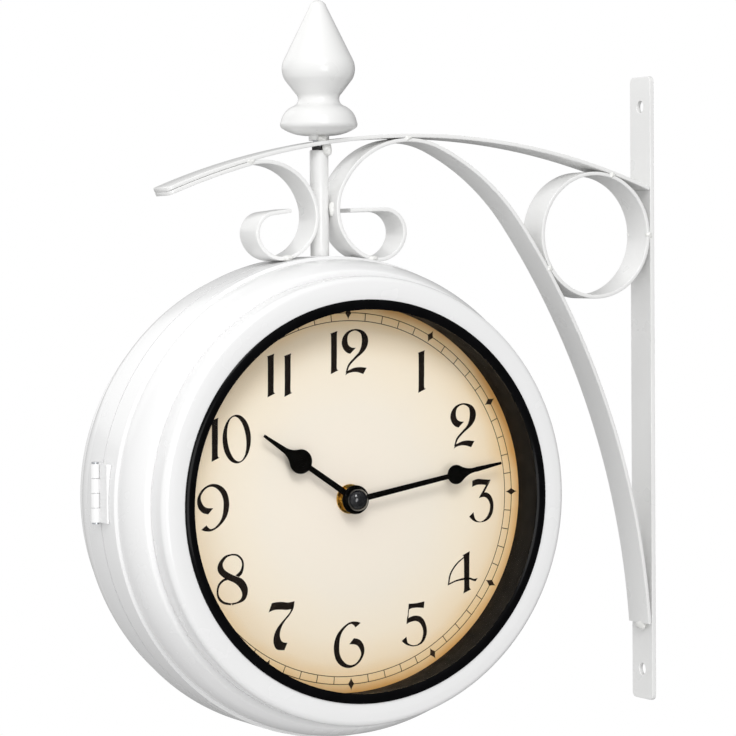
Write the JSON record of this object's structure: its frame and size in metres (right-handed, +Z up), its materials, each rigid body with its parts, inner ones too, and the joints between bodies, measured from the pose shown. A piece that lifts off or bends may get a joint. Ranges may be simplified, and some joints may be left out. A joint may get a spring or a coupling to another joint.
{
  "type": "double sided wall clock",
  "caption": "Round double sided clock hung from a scrolled flat bar bracket, with a hinged rear half, spade hands and a turned finial.",
  "frame": {"origin": "on the back face of the wall bar, half way between its two screw holes", "axes": "+X points into the wall, +Z points up, -Y is the side of the front dial"},
  "size_m": [0.3214, 0.1108, 0.3726],
  "materials": {
    "white_bracket": "gloss white paint over flat bar",
    "weld_paint": "gloss white paint over weld beads",
    "white_case": "gloss white paint over pressed steel",
    "black_rim": "gloss black",
    "clear_glass": "clear",
    "sleeve_white": "satin cream",
    "dial_face": "aged cream print, satin",
    "hand_black": "satin black",
    "bright_steel": "plain zinc plated",
    "brass_work": "plain",
    "movement_case": "moulded black",
    "setting_wheel": "moulded white",
    "cell_jacket": "plain dark jacket",
    "magnet": "dark ferrite"
  },
  "bodies": {
    "bracket": {"wall_bar": "white_bracket", "top_arm": "white_bracket", "brace_scroll": "white_bracket", "left_scroll": "white_bracket", "bracket_ring": "white_bracket", "post": "white_bracket", "finial": "white_bracket", "finial_stud": "bright_steel", "weld_beads": "weld_paint", "case_front_shell": "white_case", "hinge_leaf_fixed": "white_case", "hinge_pin": "bright_steel", "catch_magnet": "magnet", "front_bezel": "white_case", "front_rim": "black_rim", "front_glass": "clear_glass", "front_sleeve": "sleeve_white", "front_dial": "dial_face", "front_dial_clips": "bright_steel", "front_movement": "movement_case", "front_contacts": "bright_steel", "front_bushing": "brass_work", "front_washer": "brass_work", "front_nut": "brass_work"},
    "door": {"case_rear_door": "white_case", "hinge_leaf_door": "white_case", "catch_keeper": "bright_steel", "rear_bezel": "white_case", "rear_rim": "black_rim", "rear_glass": "clear_glass", "rear_sleeve": "sleeve_white", "rear_dial": "dial_face", "rear_dial_clips": "bright_steel", "rear_movement": "movement_case", "rear_contacts": "bright_steel", "rear_bushing": "brass_work", "rear_washer": "brass_work", "rear_nut": "brass_work"},
    "front_minute": {"front_minute_shaft": "bright_steel", "front_minute_hand": "hand_black", "front_hand_cap": "hand_black"},
    "front_hour": {"front_hour_tube": "brass_work", "front_hour_hand": "hand_black"},
    "front_setter": {"front_setting_knob": "setting_wheel"},
    "front_cell": {"front_battery": "cell_jacket"},
    "rear_minute": {"rear_minute_shaft": "bright_steel", "rear_minute_hand": "hand_black", "rear_hand_cap": "hand_black"},
    "rear_hour": {"rear_hour_tube": "brass_work", "rear_hour_hand": "hand_black"},
    "rear_setter": {"rear_setting_knob": "setting_wheel"},
    "rear_cell": {"rear_battery": "cell_jacket"}
  },
  "joints": [
    {"name": "door_swing", "type": "hinge", "parent": "bracket", "child": "door", "pos_m": [-0.319, 0, -0.04333], "axis": [0, 0, 1], "range_deg": [0, 100]},
    {"name": "front_minute_turn", "type": "hinge", "parent": "bracket", "child": "front_minute", "pos_m": [-0.195, -0.04, -0.04933], "axis": [0, 1, 0], "continuous": true},
    {"name": "front_hour_turn", "type": "hinge", "parent": "bracket", "child": "front_hour", "pos_m": [-0.195, -0.036, -0.04933], "axis": [0, 1, 0], "continuous": true},
    {"name": "front_setter_turn", "type": "hinge", "parent": "bracket", "child": "front_setter", "pos_m": [-0.195, -0.015, -0.03733], "axis": [0, 1, 0], "continuous": true},
    {"name": "front_cell_slide", "type": "slide", "parent": "bracket", "child": "front_cell", "axis": [0, 1, 0], "range_m": [0, 0.012]},
    {"name": "rear_minute_turn", "type": "hinge", "parent": "door", "child": "rear_minute", "pos_m": [-0.195, 0.04, -0.04933], "axis": [0, -1, 0], "continuous": true},
    {"name": "rear_hour_turn", "type": "hinge", "parent": "door", "child": "rear_hour", "pos_m": [-0.195, 0.036, -0.04933], "axis": [0, -1, 0], "continuous": true},
    {"name": "rear_setter_turn", "type": "hinge", "parent": "door", "child": "rear_setter", "pos_m": [-0.195, 0.015, -0.03733], "axis": [0, -1, 0], "continuous": true},
    {"name": "rear_cell_slide", "type": "slide", "parent": "door", "child": "rear_cell", "axis": [0, -1, 0], "range_m": [0, 0.012]}
  ],
  "couplings": [
    {"joint": "front_hour_turn", "follows": "front_minute_turn", "ratio": 0.083333},
    {"joint": "front_setter_turn", "follows": "front_minute_turn", "ratio": -3},
    {"joint": "rear_hour_turn", "follows": "rear_minute_turn", "ratio": 0.083333},
    {"joint": "rear_setter_turn", "follows": "rear_minute_turn", "ratio": -3}
  ]
}
